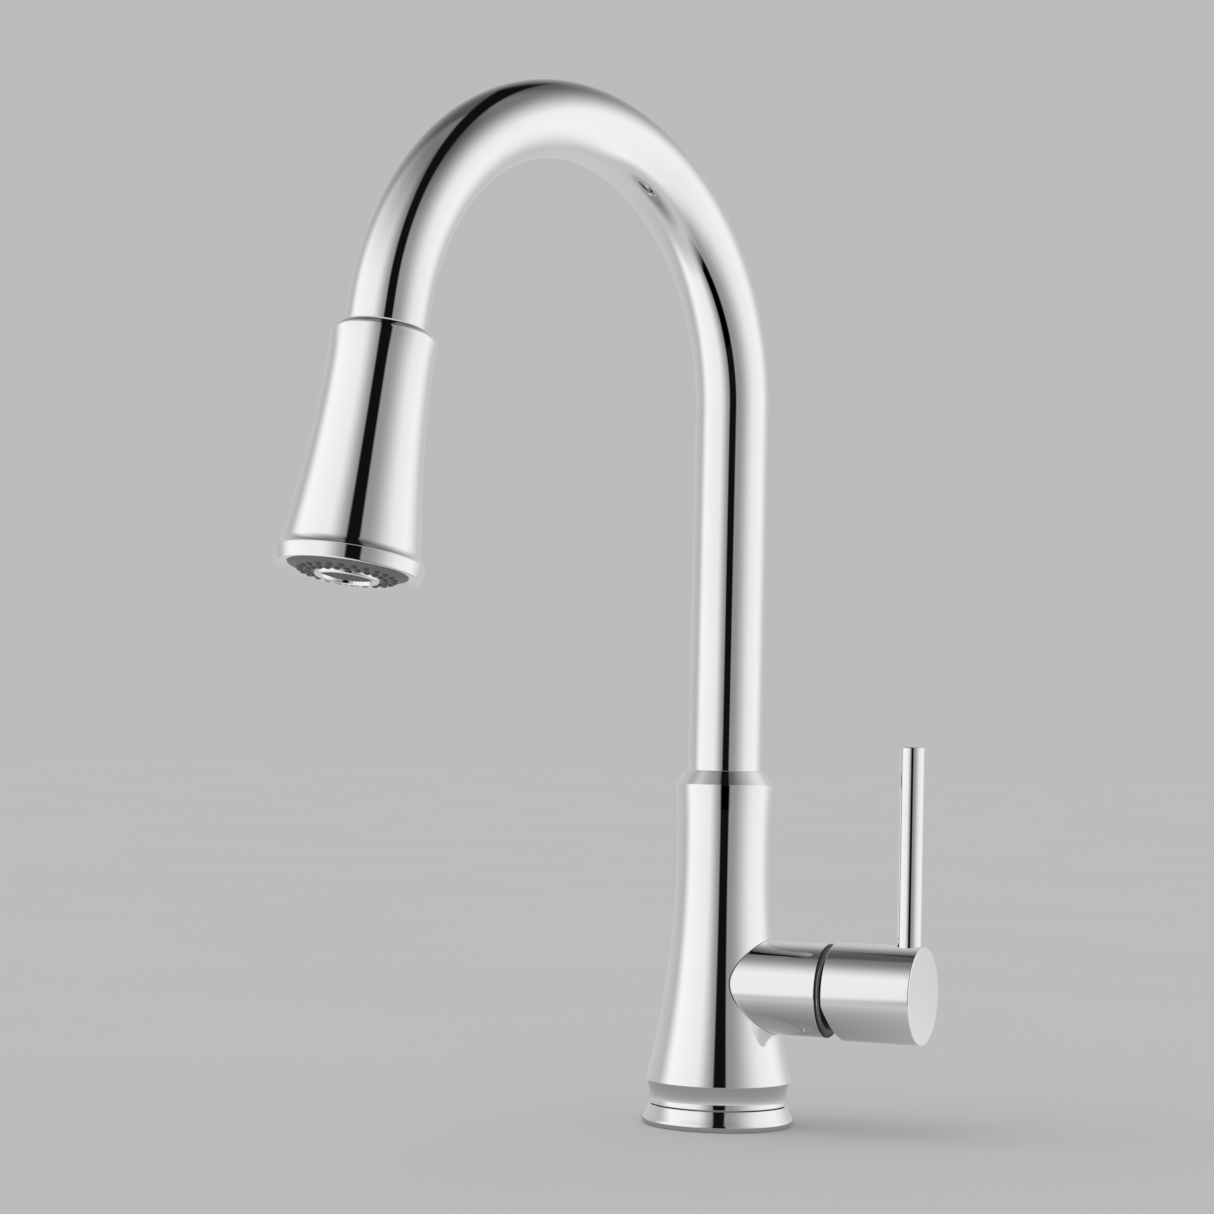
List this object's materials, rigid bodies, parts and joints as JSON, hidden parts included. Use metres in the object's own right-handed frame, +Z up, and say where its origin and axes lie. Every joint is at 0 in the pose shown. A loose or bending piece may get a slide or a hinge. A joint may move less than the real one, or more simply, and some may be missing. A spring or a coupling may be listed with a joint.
{
  "type": "pull-down kitchen faucet",
  "caption": "Gooseneck kitchen faucet with a pull-down spray head, a side valve with an upright lever, and deck-mounting hardware.",
  "frame": {"origin": "on the deck surface, in the middle of the body, under the base ring's gasket", "axes": "+Z up along the body and the straight part of the spout; +X along the valve and the handle's hub; -Y is the front, over the sink. The spout rests turned 16 degrees from -Y towards -X"},
  "size_m": [0.166, 0.2558, 0.486],
  "materials": {
    "chrome": "mirror-polished chrome plate",
    "brass": "machined, unplated",
    "steel": "turned stainless steel",
    "copper": "drawn copper tube",
    "ceramic": null,
    "grey_rubber": "moulded silicone, fine matte",
    "black_rubber": "matte nitrile",
    "grey_plastic": "moulded, matte",
    "white_plastic": "moulded acetal, satin",
    "hose_braid": "nylon braid over a water hose",
    "magnet": "sintered ring magnet"
  },
  "bodies": {
    "faucet_body": {"base_gasket": "black_rubber", "base_ring": "chrome", "mounting_shank": "brass", "rubber_washer": "black_rubber", "steel_washer": "steel", "mounting_nut": "brass", "clamp_screw_front": "steel", "clamp_screw_back": "steel", "hot_inlet_tube": "copper", "cold_inlet_tube": "copper", "outlet_tube": "copper", "body_shell": "chrome", "thrust_washer": "white_plastic", "spout_retaining_screw": "steel", "port_seal_hot": "black_rubber", "port_seal_cold": "black_rubber", "port_seal_outlet": "black_rubber", "cartridge_base": "white_plastic", "fixed_disc": "ceramic", "cartridge_housing": "grey_plastic", "retaining_nut": "brass", "dome_cap": "chrome"},
    "spout": {"spout_hub": "brass", "lower_wear_ring": "white_plastic", "upper_wear_ring": "white_plastic", "spout_tube": "chrome", "spray_hose": "hose_braid", "hose_tail_fitting": "brass", "dock_magnet": "magnet", "dock_collar": "white_plastic"},
    "hose_end": {"hose_ferrule": "steel"},
    "spray_head": {"hose_nut": "chrome", "filter_washer": "black_rubber", "head_inlet": "brass", "check_valve": "white_plastic", "dock_plate": "steel", "head_shell": "chrome", "water_core": "white_plastic", "toggle_pin": "steel", "head_bezel": "chrome", "spray_face": "grey_rubber", "aerator_ring": "chrome", "aerator_screen": "grey_plastic"},
    "toggle": {"spray_toggle": "chrome"},
    "diverter": {"diverter_spool": "grey_plastic"},
    "carrier": {"stem_carrier": "white_plastic", "pivot_pin": "steel"},
    "handle": {"stem": "brass", "handle_hub": "chrome", "lever_rod": "chrome", "hub_set_screw": "steel"},
    "valve_disc": {"moving_disc": "ceramic", "disc_coupler": "white_plastic"}
  },
  "joints": [
    {"name": "spout_swivel", "type": "hinge", "parent": "faucet_body", "child": "spout", "pos_m": [0, 0, 0.137], "axis": [0, 0, 1], "continuous": true},
    {"name": "head_pull", "type": "slide", "parent": "spout", "child": "hose_end", "axis": [-0.0488, -0.1702, -0.9842], "range_m": [0, 0.19], "stiffness_N_per_m": 8, "springref_m": -0.6, "deforming": ["spray_hose"]},
    {"name": "head_swivel", "type": "hinge", "parent": "hose_end", "child": "spray_head", "pos_m": [-0.05369, -0.18724, 0.28648], "axis": [-0.0488, -0.1702, -0.9842], "continuous": true},
    {"name": "spray_toggle_rock", "type": "hinge", "parent": "spray_head", "child": "toggle", "pos_m": [-0.05097, -0.17774, 0.24508], "axis": [0.9613, -0.2756, 0], "range_deg": [0, 8]},
    {"name": "diverter_shift", "type": "slide", "parent": "spray_head", "child": "diverter", "axis": [-0.0488, -0.1702, -0.9842], "range_m": [0, 0.0015]},
    {"name": "handle_temperature", "type": "hinge", "parent": "faucet_body", "child": "carrier", "pos_m": [0.04, 0, 0.0538], "axis": [1, 0, 0], "range_deg": [-45, 45]},
    {"name": "handle_tilt", "type": "hinge", "parent": "carrier", "child": "handle", "pos_m": [0.04, 0, 0.0538], "axis": [0, 1, 0], "range_deg": [0, 18]},
    {"name": "disc_shift", "type": "slide", "parent": "carrier", "child": "valve_disc", "axis": [0, 0, 1], "range_m": [0, 0.0036]}
  ],
  "couplings": [
    {"joint": "spray_toggle_rock", "follows": "diverter_shift", "rad_per_m": 93},
    {"joint": "disc_shift", "follows": "handle_tilt", "m_per_rad": 0.0114}
  ]
}
